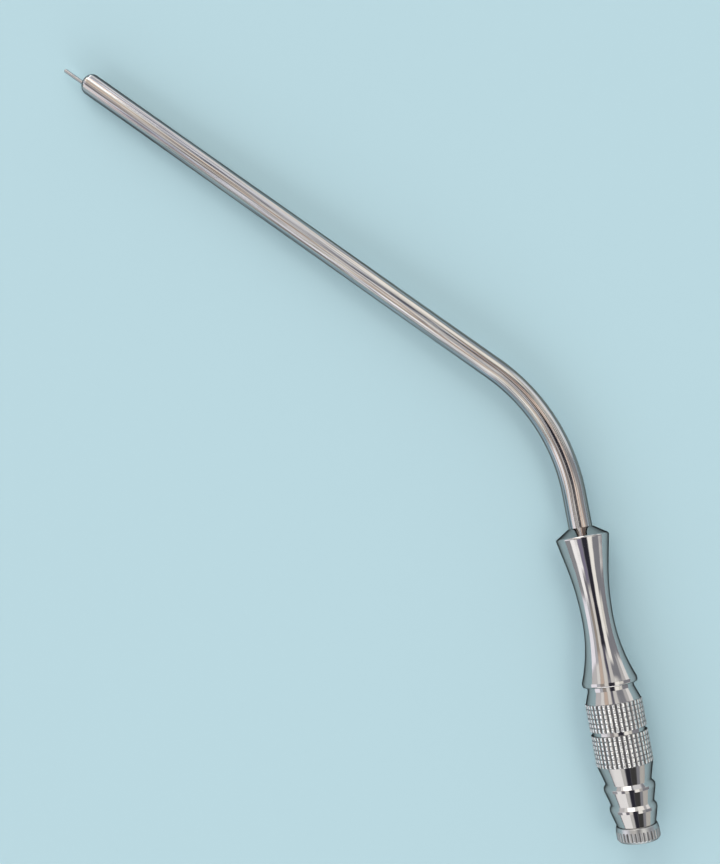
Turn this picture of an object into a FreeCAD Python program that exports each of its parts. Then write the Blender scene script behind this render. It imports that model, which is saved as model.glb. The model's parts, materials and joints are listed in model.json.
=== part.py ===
import FreeCAD, Part
import math
import os

import Sketcher
from FreeCAD import Placement, Rotation, Vector

# An angled suction tube with a turned grip, a ribbed hose connector and a stylet. It lies on
# a flat surface the way it comes to rest. Lengths are millimetres and angles are degrees.
#
# The turned pieces share one local frame: Y is their axis, and it counts backwards from the
# grip's front end. The tube and the wire count Y forwards from their own rear ends, and their
# far legs lean towards X. Each piece is then set into the resting frame by its placement.

SIZES = (
    # The bent tube, its rolled-in nose and its seat in the grip.
    ("tube_radius", 2.0),
    ("tube_wall", 0.4),
    ("seat_depth", 12.0),
    ("tube_lead", 5.75),
    ("bend_radius", 34.2),
    ("bend_angle", 43.8),
    ("leg_length", 92.0),
    ("nose_rounding", 1.4),
    ("mouth_radius", 1.0),
    ("lip_rounding", 0.12),
    ("braze_gap", 0.02),
    # The waisted grip: front cone, tapered shoulder, two waist arcs and rear rim.
    ("front_lip", 0.12),
    ("front_cone_length", 1.55),
    ("front_taper_angle", 11.5),
    ("waist_at", 15.5),
    ("waist_radius", 2.62),
    ("front_waist_arc", 46.0),
    ("rear_waist_arc", 27.0),
    ("rear_rim_at", 25.6),
    ("rear_rim_width", 0.75),
    ("front_rim_rounding", 0.4),
    ("rear_rim_rounding", 0.3),
    # The grip's neck, its knurled collar and the socket inside it.
    ("neck_radius", 3.85),
    ("neck_length", 0.7),
    ("collar_radius", 4.57),
    ("collar_cone_length", 2.0),
    ("front_knurl_length", 4.55),
    ("socket_radius", 3.0),
    ("socket_runout", 0.5),
    # Both knurled bands: straight flutes, and shallow notches across the flat-topped ridges.
    ("knurl_radius", 4.74),
    ("knurl_edge", 0.1),
    ("flute_count", 36),
    ("flute_depth", 0.28),
    ("flute_half_angle", 42.0),
    ("ring_depth", 0.15),
    ("ring_half_angle", 45.0),
    ("bead_pitch", 0.76),
    # The hose connector: spigot, parting groove, knurl and three barbs.
    ("spigot_length", 6.0),
    ("spigot_clearance", 0.05),
    ("spigot_chamfer", 0.3),
    ("groove_radius", 4.36),
    ("groove_width", 0.65),
    ("rear_knurl_length", 5.1),
    ("barb_root_radius", 4.62),
    ("barb_angle", 16.0),
    ("first_taper_length", 3.0),
    ("second_taper_length", 2.4),
    ("third_taper_length", 2.45),
    ("barb_shoulder_length", 0.6),
    ("crest_land", 0.45),
    ("large_crest_radius", 4.23),
    ("small_crest_radius", 3.89),
    ("crest_rounding", 0.1),
    ("outlet_chamfer", 0.2),
    # The stylet's knob, with its plug and the blind hole for the wire.
    ("knob_front_radius", 3.4),
    ("knob_radius", 3.56),
    ("knob_taper_length", 0.9),
    ("knob_length", 2.5),
    ("knob_chamfer", 0.42),
    ("knob_rounding", 0.15),
    ("knob_collar", 0.65),
    ("serration_count", 32),
    ("serration_depth", 0.16),
    ("serration_half_angle", 50.0),
    ("plug_length", 7.0),
    ("plug_clearance", 0.05),
    ("plug_chamfer", 0.3),
    ("wire_seat", 1.2),
    # The stylet wire.
    ("wire_radius", 0.35),
    ("wire_clearance", 0.05),
    ("wire_reach", 4.7),
    ("wire_rounding", 0.2),
)

# Names of the constraint kinds that pin a point across and along its sketch.
ACROSS = "DistanceX"
ALONG = "DistanceY"
FULL_TURN = 360.0
OVERSHOOT = "0.2"
FACET = 0.02

# Radii and distances that follow from the sizes.
BORE = "(sizes.tube_radius - sizes.tube_wall)"
SEAT_RADIUS = "(sizes.tube_radius + sizes.braze_gap)"
RIM_BACK = "(sizes.rear_rim_at + sizes.rear_rim_width)"
NECK_BACK = f"({RIM_BACK} + sizes.neck_length)"
COLLAR_BACK = f"({NECK_BACK} + sizes.collar_cone_length)"
GRIP_BACK = f"({COLLAR_BACK} + sizes.front_knurl_length)"
KNURL_FRONT = f"({GRIP_BACK} + sizes.groove_width)"
KNURL_BACK = f"({KNURL_FRONT} + sizes.rear_knurl_length)"
FIRST_VALLEY = f"({KNURL_BACK} + sizes.first_taper_length)"
LARGE_CREST = f"({FIRST_VALLEY} + sizes.barb_shoulder_length)"
SECOND_VALLEY = f"({LARGE_CREST} + sizes.crest_land + sizes.second_taper_length)"
SMALL_CREST = f"({SECOND_VALLEY} + sizes.barb_shoulder_length)"
OUTLET = f"({SMALL_CREST} + sizes.crest_land + sizes.third_taper_length)"
KNOB_BACK = f"({OUTLET} + sizes.knob_length)"
WIRE_BACK = f"({OUTLET} + sizes.wire_seat)"
BARB_SLOPE = "tan(sizes.barb_angle)"
RING_STEPS = "round({length} / sizes.bead_pitch)"

# A knurl's blank is round until each ridge gets its flat top, and what is cut across a ridge
# reaches from the bottom of one flute to the next one's.
KNURL_BLANK = "(sizes.knurl_radius / cos(180 / sizes.flute_count))"
RIDGE_WIDTH = "(2 * (sizes.knurl_radius - sizes.flute_depth) * tan(180 / sizes.flute_count))"

# The grip's outline: where the front taper runs into the waist, and what that makes the rims.
TAPER_BACK = "(sizes.waist_at - sizes.front_waist_arc * sin(sizes.front_taper_angle))"
TAPER_FOOT = "(sizes.waist_radius + sizes.front_waist_arc * (1 - cos(sizes.front_taper_angle)))"
FRONT_RIM = f"({TAPER_FOOT} + ({TAPER_BACK} - sizes.front_cone_length) * tan(sizes.front_taper_angle))"
REAR_RIM = ("(sizes.waist_radius + sizes.rear_waist_arc"
            " - sqrt(pow(sizes.rear_waist_arc; 2) - pow(sizes.rear_rim_at - sizes.waist_at; 2)))")

# The nose: the mouth's distance from the centre of its rounding, and its height over the leg's end.
MOUTH_IN = "(sizes.mouth_radius - sizes.tube_radius + sizes.nose_rounding)"
NOSE_TOP = f"sqrt(pow(sizes.nose_rounding; 2) - pow({MOUTH_IN}; 2))"
NOSE_INSIDE = f"sqrt(pow(sizes.nose_rounding - sizes.tube_wall; 2) - pow({MOUTH_IN}; 2))"

# The wire leans on the inner side of the mouth, so it turns a little before the tube does.
WIRE_OFFSET = "(sizes.mouth_radius - sizes.wire_radius - sizes.wire_clearance)"
WIRE_STRAIGHT = f"({WIRE_BACK} + sizes.tube_lead - {WIRE_OFFSET} / sin(sizes.bend_angle))"
WIRE_LEG = (f"(sizes.leg_length + {NOSE_TOP} + sizes.wire_reach"
            f" + {WIRE_OFFSET} / tan(sizes.bend_angle))")


def make_sheet(doc):
    """Sheet of the driving sizes, one named cell each."""
    sheet = doc.addObject("Spreadsheet::Sheet", "sizes")
    for row, (alias, number) in enumerate(SIZES, start=1):
        sheet.set(f"A{row}", alias)
        sheet.set(f"B{row}", str(number))
        sheet.setAlias(f"B{row}", alias)
    doc.recompute()
    return sheet


def number(owner, text):
    """What an expression is worth now."""
    result = owner.evalExpression(text)
    return float(getattr(result, "Value", result))


def new_body(doc, name):
    """Empty body whose label names the piece."""
    body = doc.addObject("PartDesign::Body", name)
    body.Label = name
    return body


def new_sketch(body, name, role):
    """Sketch on one of the body's own origin planes."""
    planes = [feature for feature in body.Origin.OriginFeatures if feature.Role == role]
    sketch = body.newObject("Sketcher::SketchObject", name)
    sketch.AttachmentSupport = [(planes[0], "")]
    sketch.MapMode = "FlatFace"
    return sketch


def bind(sketch, index, name, text):
    """Ties a constraint to an expression."""
    sketch.renameConstraint(index, name)
    sketch.setExpression(f"Constraints.{name}", text)


def pin(sketch, edge, end, across, along, name):
    """Holds one end of an edge at a place given by two expressions."""
    for kind, text, axis in ((ACROSS, across, -2), (ALONG, along, -1)):
        if text == "0":
            sketch.addConstraint(Sketcher.Constraint("PointOnObject", edge, end, axis))
            continue
        size = number(sketch, text)
        index = sketch.addConstraint(Sketcher.Constraint(kind, -1, 1, edge, end, size))
        bind(sketch, index, f"{name}_{kind}", text)


def arc_between(start, end, radius, turn):
    """Arc from start to end, turning left (1) or right (-1), always stored anticlockwise."""
    chord = end - start
    reach = math.sqrt(radius ** 2 - (chord.Length / 2) ** 2)
    left = Vector(-chord.y, chord.x, 0).normalize()
    centre = (start + end) / 2 + left * reach * turn
    first, last = (start, end) if turn > 0 else (end, start)
    angles = [math.atan2(point.y - centre.y, point.x - centre.x) for point in (first, last)]
    if angles[1] < angles[0]:
        angles[1] += 2 * math.pi
    circle = Part.Circle(centre, Vector(0, 0, 1), radius)
    return Part.ArcOfCircle(circle, angles[0], angles[1])


def draw_outline(sketch, corners):
    """Closed outline. Each corner has a name, its place across and along, and for an arc
    that leaves it, the arc's radius and its turn."""
    points = []
    for corner in corners:
        points.append(Vector(number(sketch, corner[1]), number(sketch, corner[2]), 0))
    starts = []
    ends = []
    for place, corner in enumerate(corners):
        following = points[(place + 1) % len(points)]
        start_end = (1, 2)
        if len(corner) > 3:
            radius, turn = corner[3:]
            shape = arc_between(points[place], following, number(sketch, radius), turn)
            if turn < 0:
                start_end = (2, 1)
        else:
            shape = Part.LineSegment(points[place], following)
        edge = sketch.addGeometry(shape, False)
        starts.append((edge, start_end[0]))
        ends.append((edge, start_end[1]))
    for place, corner in enumerate(corners):
        following = starts[(place + 1) % len(corners)]
        sketch.addConstraint(Sketcher.Constraint("Coincident", *ends[place], *following))
        pin(sketch, *starts[place], corner[1], corner[2], corner[0])
        if len(corner) > 3:
            size = number(sketch, corner[3])
            index = sketch.addConstraint(Sketcher.Constraint("Radius", starts[place][0], size))
            bind(sketch, index, f"{corner[0]}_Radius", corner[3])


def revolve(body, sketch, name):
    """Turns a sketch once round its own upright axis."""
    turning = body.newObject("PartDesign::Revolution", name)
    turning.Profile = sketch
    turning.ReferenceAxis = (sketch, ["V_Axis"])
    turning.Angle = FULL_TURN
    body.Document.recompute()
    return turning


def turned_body(doc, name, corners):
    """Body turned from one outline."""
    body = new_body(doc, name)
    sketch = new_sketch(body, f"{name}_outline", "XY_Plane")
    draw_outline(sketch, corners)
    revolve(body, sketch, f"{name}_turning")
    return body


def round_circles(body, name, size, circles):
    """Rounds the circular edges that have these centres and radii."""
    shape = body.Tip.Shape
    wanted = []
    for centre, radius in circles:
        for index, edge in enumerate(shape.Edges, start=1):
            curve = edge.Curve
            if not isinstance(curve, Part.Circle) or abs(curve.Radius - radius) > FACET / 10:
                continue
            if (curve.Center - centre).Length < FACET / 10:
                wanted.append(f"Edge{index}")
    rounding = body.newObject("PartDesign::Fillet", name)
    rounding.Base = (rounding.BaseFeature, sorted(set(wanted)))
    rounding.setExpression("Radius", size)
    body.Document.recompute()


def on_axis(body, places):
    """Centres and radii for circles round the local Y axis."""
    return [(Vector(0, number(body, along), 0), number(body, radius)) for radius, along in places]


def cut_flutes(body, name, crest, front, length, depth, half_angle, count):
    """Straight V cuts all round a band, from its front plane backwards."""
    sketch = new_sketch(body, f"{name}_profile", "XZ_Plane")
    sketch.setExpression("AttachmentOffset.Base.z", f"-({front})")
    body.Document.recompute()
    half = f"(({depth} + {OVERSHOOT}) * tan({half_angle}))"
    bottom = Vector(number(body, f"{crest} - {depth}"), 0, 0)
    outer = number(body, f"{crest} + {OVERSHOOT}")
    corners = [bottom, Vector(outer, number(body, half), 0), Vector(outer, -number(body, half), 0)]
    for place in range(3):
        sketch.addGeometry(Part.LineSegment(corners[place], corners[(place + 1) % 3]), False)
    for place in range(3):
        sketch.addConstraint(Sketcher.Constraint("Coincident", place, 2, (place + 1) % 3, 1))
    sketch.addConstraint(Sketcher.Constraint("Symmetric", 1, 1, 1, 2, -1))
    pin(sketch, 0, 1, f"{crest} - {depth}", "0", "bottom")
    index = sketch.addConstraint(Sketcher.Constraint(ACROSS, -1, 1, 1, 1, outer))
    bind(sketch, index, "outer", f"{crest} + {OVERSHOOT}")
    index = sketch.addConstraint(Sketcher.Constraint("Distance", 1, 2 * number(body, half)))
    bind(sketch, index, "opening", f"2 * {half}")
    flute = body.newObject("PartDesign::Pocket", f"{name}_cut")
    flute.Profile = sketch
    flute.setExpression("Length", length)
    body.Document.recompute()
    pattern = body.newObject("PartDesign::PolarPattern", f"{name}_pattern")
    pattern.Originals = [flute]
    pattern.Axis = (sketch, ["N_Axis"])
    pattern.Angle = FULL_TURN
    pattern.setExpression("Occurrences", count)
    body.Tip = pattern
    body.Document.recompute()


def ridge_cut(body, name, corners):
    """Cut across the ridge half a step from the first flute, with the outline's side view."""
    sketch = new_sketch(body, f"{name}_profile", "XY_Plane")
    sketch.AttachmentOffset = Placement(Vector(0, 0, 0), Rotation(Vector(0, 1, 0), 1))
    sketch.setExpression("AttachmentOffset.Rotation.Angle", "180 / sizes.flute_count")
    draw_outline(sketch, corners)
    cut = body.newObject("PartDesign::Pocket", f"{name}_cut")
    cut.Profile = sketch
    cut.SideType = "Symmetric"
    cut.setExpression("Length", RIDGE_WIDTH)
    body.Document.recompute()
    return sketch, cut


def turn_all_round(pattern, sketch):
    """Makes a pattern turn once about the axis, with a step for each flute."""
    pattern.Axis = (sketch, ["V_Axis"])
    pattern.Angle = FULL_TURN
    pattern.setExpression("Occurrences", "sizes.flute_count")


def flatten_ridges(body, name, front, length):
    """Flat top and bevelled ends for every ridge of a knurl."""
    crest = "sizes.knurl_radius"
    low = f"{crest} - sizes.knurl_edge"
    clear = f"{crest} + {OVERSHOOT}"
    sketch, cut = ridge_cut(body, name, [
        ("front_end", low, front),
        ("crest_front", crest, f"{front} + sizes.knurl_edge"),
        ("crest_back", crest, f"{front} + {length} - sizes.knurl_edge"),
        ("back_end", low, f"{front} + {length}"),
        ("back_clear", clear, f"{front} + {length}"),
        ("front_clear", clear, front),
    ])
    pattern = body.newObject("PartDesign::PolarPattern", f"{name}_pattern")
    pattern.Originals = [cut]
    turn_all_round(pattern, sketch)
    body.Tip = pattern
    body.Document.recompute()


def cut_notches(body, name, front, length):
    """Shallow V notches that part each ridge of a knurl into evenly spaced beads."""
    steps = RING_STEPS.format(length=length)
    pitch = f"({length} / {steps})"
    half = f"((sizes.ring_depth + {OVERSHOOT}) * tan(sizes.ring_half_angle))"
    middle = f"({front} + {pitch})"
    clear = f"sizes.knurl_radius + {OVERSHOOT}"
    sketch, cut = ridge_cut(body, name, [
        ("bottom", "sizes.knurl_radius - sizes.ring_depth", middle),
        ("front_side", clear, f"{middle} - {half}"),
        ("back_side", clear, f"{middle} + {half}"),
    ])
    along = body.Document.addObject("PartDesign::LinearPattern", f"{name}_along")
    along.Direction = (sketch, ["V_Axis"])
    along.setExpression("Occurrences", f"{steps} - 1")
    along.setExpression("Length", f"{pitch} * ({steps} - 2)")
    around = body.Document.addObject("PartDesign::PolarPattern", f"{name}_around")
    turn_all_round(around, sketch)
    pattern = body.newObject("PartDesign::MultiTransform", f"{name}_pattern")
    pattern.Originals = [cut]
    pattern.Transformations = [along, around]
    body.Tip = pattern
    body.Document.recompute()


def knurl(body, name, front, length):
    """Knurled band: straight flutes, flat-topped ridges between them, and notches across those."""
    cut_flutes(body, f"{name}_flutes", "sizes.knurl_radius", front, length,
               "sizes.flute_depth", "sizes.flute_half_angle", "sizes.flute_count")
    flatten_ridges(body, f"{name}_ridges", front, length)
    cut_notches(body, f"{name}_notches", front, length)


def make_grip(doc):
    """Waisted grip with its front cone, neck and front knurled collar, bored through."""
    socket_front = f"{GRIP_BACK} - sizes.spigot_length - sizes.socket_runout"
    body = turned_body(doc, "grip", [
        ("seat_mouth", SEAT_RADIUS, "0"),
        ("lip", "sizes.tube_radius + sizes.front_lip", "0"),
        ("front_rim", FRONT_RIM, "sizes.front_cone_length"),
        ("taper_back", TAPER_FOOT, TAPER_BACK, "sizes.front_waist_arc", -1),
        ("waist", "sizes.waist_radius", "sizes.waist_at", "sizes.rear_waist_arc", -1),
        ("rim_front", REAR_RIM, "sizes.rear_rim_at"),
        ("rim_back", REAR_RIM, RIM_BACK),
        ("neck_front", "sizes.neck_radius", RIM_BACK),
        ("neck_back", "sizes.neck_radius", NECK_BACK),
        ("collar_back", "sizes.collar_radius", COLLAR_BACK),
        ("knurl_front", KNURL_BLANK, COLLAR_BACK),
        ("knurl_back", KNURL_BLANK, GRIP_BACK),
        ("socket_back", "sizes.socket_radius", GRIP_BACK),
        ("socket_front", "sizes.socket_radius", socket_front),
        ("bore_back", BORE, socket_front),
        ("bore_front", BORE, "sizes.seat_depth"),
        ("seat_floor", SEAT_RADIUS, "sizes.seat_depth"),
    ])
    front = on_axis(body, [(FRONT_RIM, "sizes.front_cone_length")])
    round_circles(body, "front_rim_round", "sizes.front_rim_rounding", front)
    rear = on_axis(body, [(REAR_RIM, "sizes.rear_rim_at"), (REAR_RIM, RIM_BACK)])
    round_circles(body, "rear_rim_round", "sizes.rear_rim_rounding", rear)
    knurl(body, "front_knurl", COLLAR_BACK, "sizes.front_knurl_length")
    return body


def make_connector(doc):
    """Hose connector: a spigot into the grip, a knurled band and three barbs."""
    spigot = "sizes.socket_radius - sizes.spigot_clearance"
    spigot_front = f"{GRIP_BACK} - sizes.spigot_length"
    first_low = f"sizes.barb_root_radius - sizes.first_taper_length * {BARB_SLOPE}"
    second_low = f"sizes.large_crest_radius - sizes.second_taper_length * {BARB_SLOPE}"
    third_low = f"sizes.small_crest_radius - sizes.third_taper_length * {BARB_SLOPE}"
    body = turned_body(doc, "hose_connector", [
        ("bore_front", BORE, spigot_front),
        ("spigot_nose", f"{spigot} - sizes.spigot_chamfer", spigot_front),
        ("spigot_front", spigot, f"{spigot_front} + sizes.spigot_chamfer"),
        ("spigot_back", spigot, GRIP_BACK),
        ("groove_front", "sizes.groove_radius", GRIP_BACK),
        ("groove_back", "sizes.groove_radius", KNURL_FRONT),
        ("knurl_front", KNURL_BLANK, KNURL_FRONT),
        ("knurl_back", KNURL_BLANK, KNURL_BACK),
        ("first_root", "sizes.barb_root_radius", KNURL_BACK),
        ("first_valley", first_low, FIRST_VALLEY),
        ("large_crest_front", "sizes.large_crest_radius", LARGE_CREST),
        ("large_crest_back", "sizes.large_crest_radius", f"{LARGE_CREST} + sizes.crest_land"),
        ("second_valley", second_low, SECOND_VALLEY),
        ("small_crest_front", "sizes.small_crest_radius", SMALL_CREST),
        ("small_crest_back", "sizes.small_crest_radius", f"{SMALL_CREST} + sizes.crest_land"),
        ("outlet_outside", third_low, OUTLET),
        ("outlet_inside", f"{BORE} + sizes.outlet_chamfer", OUTLET),
        ("bore_back", BORE, f"{OUTLET} - sizes.outlet_chamfer"),
    ])
    crests = on_axis(body, [("sizes.large_crest_radius", LARGE_CREST),
                            ("sizes.small_crest_radius", SMALL_CREST)])
    round_circles(body, "crest_round", "sizes.crest_rounding", crests)
    knurl(body, "rear_knurl", KNURL_FRONT, "sizes.rear_knurl_length")
    return body


def make_knob(doc):
    """Serrated stylet knob with the plug that centres it in the connector's bore."""
    plug = f"{BORE} - sizes.plug_clearance"
    plug_front = f"{OUTLET} - sizes.plug_length"
    hole = "sizes.wire_radius + sizes.braze_gap"
    rear_radius = "sizes.knob_radius - sizes.knob_chamfer"
    rear_edge = f"{KNOB_BACK} - sizes.knob_chamfer"
    body = turned_body(doc, "stylet_knob", [
        ("hole_front", hole, plug_front),
        ("plug_nose", f"{plug} - sizes.plug_chamfer", plug_front),
        ("plug_front", plug, f"{plug_front} + sizes.plug_chamfer"),
        ("plug_back", plug, OUTLET),
        ("head_front", "sizes.knob_front_radius", OUTLET),
        ("head_wide", "sizes.knob_radius", f"{OUTLET} + sizes.knob_taper_length"),
        ("head_back", "sizes.knob_radius", rear_edge),
        ("head_end", rear_radius, KNOB_BACK),
        ("end_middle", "0", KNOB_BACK),
        ("hole_middle", "0", WIRE_BACK),
        ("hole_back", hole, WIRE_BACK),
    ])
    edges = on_axis(body, [("sizes.knob_front_radius", OUTLET), ("sizes.knob_radius", rear_edge),
                           (rear_radius, KNOB_BACK)])
    round_circles(body, "knob_round", "sizes.knob_rounding", edges)
    cut_flutes(body, "serrations", "sizes.knob_radius", f"{OUTLET} + sizes.knob_collar",
               "sizes.knob_length - sizes.knob_collar", "sizes.serration_depth",
               "sizes.serration_half_angle", "sizes.serration_count")
    return body


def draw_route(sketch, straight, leg):
    """Route from the origin: straight, one bend towards X and a straight leg, all tangent."""
    rise = number(sketch, straight)
    radius = number(sketch, "sizes.bend_radius")
    bend = math.radians(number(sketch, "sizes.bend_angle"))
    reach = number(sketch, leg)
    first = Vector(0, rise, 0)
    second = first + Vector(radius * (1 - math.cos(bend)), radius * math.sin(bend), 0)
    last = second + Vector(reach * math.sin(bend), reach * math.cos(bend), 0)
    circle = Part.Circle(Vector(radius, rise, 0), Vector(0, 0, 1), radius)
    sketch.addGeometry(Part.LineSegment(Vector(0, 0, 0), first), False)
    sketch.addGeometry(Part.ArcOfCircle(circle, math.pi - bend, math.pi), False)
    sketch.addGeometry(Part.LineSegment(second, last), False)
    sketch.addConstraint(Sketcher.Constraint("Coincident", 0, 1, -1, 1))
    sketch.addConstraint(Sketcher.Constraint("Vertical", 0))
    sketch.addConstraint(Sketcher.Constraint("Tangent", 0, 2, 1, 2))
    sketch.addConstraint(Sketcher.Constraint("Tangent", 1, 1, 2, 1))
    driven = (
        ("straight", straight, Sketcher.Constraint("Distance", 0, rise)),
        ("bend_radius", "sizes.bend_radius", Sketcher.Constraint("Radius", 1, radius)),
        ("bend_angle", "sizes.bend_angle", Sketcher.Constraint("Angle", 1, bend)),
        ("leg", leg, Sketcher.Constraint("Distance", 2, reach)),
    )
    for name, text, constraint in driven:
        bind(sketch, sketch.addConstraint(constraint), name, text)


def sweep(body, name, radii, straight, leg):
    """Pipe along a bent route, with one circle for each radius as its section."""
    section = new_sketch(body, f"{name}_section", "XZ_Plane")
    for place, text in enumerate(radii):
        size = number(section, text)
        section.addGeometry(Part.Circle(Vector(0, 0, 0), Vector(0, 0, 1), size), False)
        section.addConstraint(Sketcher.Constraint("Coincident", place, 3, -1, 1))
        index = section.addConstraint(Sketcher.Constraint("Radius", place, size))
        bind(section, index, f"radius_{place}", text)
    route = new_sketch(body, f"{name}_route", "XY_Plane")
    draw_route(route, straight, leg)
    body.Document.recompute()
    pipe = body.newObject("PartDesign::AdditivePipe", f"{name}_pipe")
    pipe.Profile = section
    pipe.Spine = (route, ["Edge1", "Edge2", "Edge3"])
    body.Document.recompute()


def leg_end(body, straight, leg):
    """Expressions for where a route's leg ends."""
    across = f"sizes.bend_radius * (1 - cos(sizes.bend_angle)) + {leg} * sin(sizes.bend_angle)"
    along = f"{straight} + sizes.bend_radius * sin(sizes.bend_angle) + {leg} * cos(sizes.bend_angle)"
    return across, along


def local_end(body, straight, leg, beyond):
    """Point on the leg's line, a distance beyond its end."""
    across, along = leg_end(body, straight, leg)
    bend = math.radians(number(body, "sizes.bend_angle"))
    reach = number(body, beyond)
    return Vector(number(body, across) + reach * math.sin(bend),
                  number(body, along) + reach * math.cos(bend), 0)


def make_tube(doc):
    """Bent thin-walled tube whose far end is rolled in to a rounded nose."""
    straight = "(sizes.seat_depth + sizes.tube_lead)"
    body = new_body(doc, "suction_tube")
    sweep(body, "tube", ["sizes.tube_radius", BORE], straight, "sizes.leg_length")
    nose = new_sketch(body, "nose_profile", "XY_Plane")
    across, along = leg_end(body, straight, "sizes.leg_length")
    nose.AttachmentOffset = Placement(Vector(0, 0, 0), Rotation(Vector(0, 0, 1), -1))
    nose.setExpression("AttachmentOffset.Base.x", across)
    nose.setExpression("AttachmentOffset.Base.y", along)
    nose.setExpression("AttachmentOffset.Rotation.Angle", "-sizes.bend_angle")
    doc.recompute()
    draw_outline(nose, [
        ("outside", "sizes.tube_radius", "0", "sizes.nose_rounding", 1),
        ("mouth_out", "sizes.mouth_radius", NOSE_TOP),
        ("mouth_in", "sizes.mouth_radius", NOSE_INSIDE, "sizes.nose_rounding - sizes.tube_wall", -1),
        ("inside", BORE, "0"),
    ])
    revolve(body, nose, "nose")
    centre = local_end(body, straight, "sizes.leg_length", NOSE_TOP)
    lip = [(centre, number(body, "sizes.mouth_radius"))]
    round_circles(body, "lip_round", "sizes.lip_rounding", lip)
    return body


def make_wire(doc):
    """Stylet wire, bent with the tube and leaning on the inner side of its mouth."""
    body = new_body(doc, "stylet_wire")
    sweep(body, "wire", ["sizes.wire_radius"], WIRE_STRAIGHT, WIRE_LEG)
    centre = local_end(body, WIRE_STRAIGHT, WIRE_LEG, "0")
    tip = [(centre, number(body, "sizes.wire_radius"))]
    round_circles(body, "wire_round", "sizes.wire_rounding", tip)
    return body


def check(doc, bodies):
    """Stops if any object failed or any piece isn't one sound solid."""
    for thing in doc.Objects:
        if "Invalid" in thing.State or "Error" in thing.State:
            raise RuntimeError(f"{thing.Name} failed: {thing.State}")
    for body in bodies:
        shape = body.Shape
        if shape.isNull() or not shape.isValid() or len(shape.Solids) != 1:
            raise RuntimeError(f"{body.Label} isn't one sound solid")


def straight_frame(body, sheet):
    """Placement into the straight frame: Y forwards from the grip's front end, leg towards -X."""
    if body.Label == "suction_tube":
        return Placement(Vector(0, -sheet.seat_depth, 0), Rotation(Vector(0, 1, 0), 180))
    if body.Label == "stylet_wire":
        return Placement(Vector(0, -number(body, WIRE_BACK), 0), Rotation(Vector(0, 1, 0), 180))
    return Placement(Vector(0, 0, 0), Rotation(Vector(0, 0, 1), 180))


def balance(shapes):
    """Centre of mass of several shapes of one metal."""
    total = sum(shape.Volume for shape in shapes)
    middle = Vector(0, 0, 0)
    for shape in shapes:
        middle += shape.CenterOfMass * (shape.Volume / total)
    return middle


def support_line(rims, under):
    """The two rims that carry the grip: the edge of the outline's hull that spans a place."""
    best = None
    for first in rims:
        for second in rims:
            if not first[0] < under < second[0]:
                continue
            height = first[1] + (second[1] - first[1]) * (under - first[0]) / (second[0] - first[0])
            if best is None or height > best[0]:
                best = (height, first, second)
    return best[1:]


def rest_on_floor(turned, tube):
    """Placement that lays the straight frame on its two rims and the tube's nose."""
    profile = {}
    for shape in turned:
        for point in shape.tessellate(FACET)[0]:
            place = round(point.y, 2)
            profile[place] = max(profile.get(place, 0.0), math.hypot(point.x, point.z))
    tube_points = tube.tessellate(FACET)[0]
    far = min(tube_points, key=lambda point: point.x)
    middle = balance(turned + [tube])
    share = middle.x / far.x
    under = (middle.y - far.y * share) / (1 - share)
    back, front = support_line(list(profile.items()), under)
    pitch = math.atan2(front[1] - back[1], front[0] - back[0])
    rise = back[1] * math.cos(pitch) - back[0] * math.sin(pitch)
    low, high = 0.0, 20.0
    while high - low > 1e-6:
        roll = (low + high) / 2
        turn = Placement(Vector(0, 0, rise), Rotation(Vector(1, 0, 0), math.degrees(pitch)))
        turn = turn * Placement(Vector(0, 0, 0), Rotation(Vector(0, 1, 0), -roll))
        if min(turn.multVec(point).z for point in tube_points) > 0:
            low = roll
        else:
            high = roll
    return turn


def lay_down(bodies, sheet):
    """Sets each piece's placement: at rest, with the origin under the middle of the whole."""
    shapes = {}
    for body in bodies:
        body.Placement = straight_frame(body, sheet)
        shapes[body.Label] = body.Shape.Solids[0]
    turned = [shapes["grip"], shapes["hose_connector"], shapes["stylet_knob"]]
    rest = rest_on_floor(turned, shapes["suction_tube"])
    low = Vector(math.inf, math.inf, math.inf)
    high = -low
    for shape in shapes.values():
        for point in shape.tessellate(FACET)[0]:
            spot = rest.multVec(point)
            low = Vector(min(low.x, spot.x), min(low.y, spot.y), min(low.z, spot.z))
            high = Vector(max(high.x, spot.x), max(high.y, spot.y), max(high.z, spot.z))
    middle = (low + high) / 2
    home = Placement(Vector(-middle.x, -middle.y, -low.z), Rotation())
    for body in bodies:
        body.Placement = home * rest * body.Placement


def main():
    doc = FreeCAD.newDocument("suction_tube_with_stylet")
    sheet = make_sheet(doc)
    makers = (make_tube, make_grip, make_connector, make_wire, make_knob)
    bodies = [maker(doc) for maker in makers]
    doc.recompute()
    check(doc, bodies)
    lay_down(bodies, sheet)
    doc.recompute()
    check(doc, bodies)
    os.makedirs("parts", exist_ok=True)
    for body in bodies:
        body.Shape.exportStep(os.path.join("parts", f"{body.Label}.step"))
        print(body.Label, "volume", round(body.Shape.Volume, 3), "faces", len(body.Shape.Faces))


main()
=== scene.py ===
import json
import math

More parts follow.
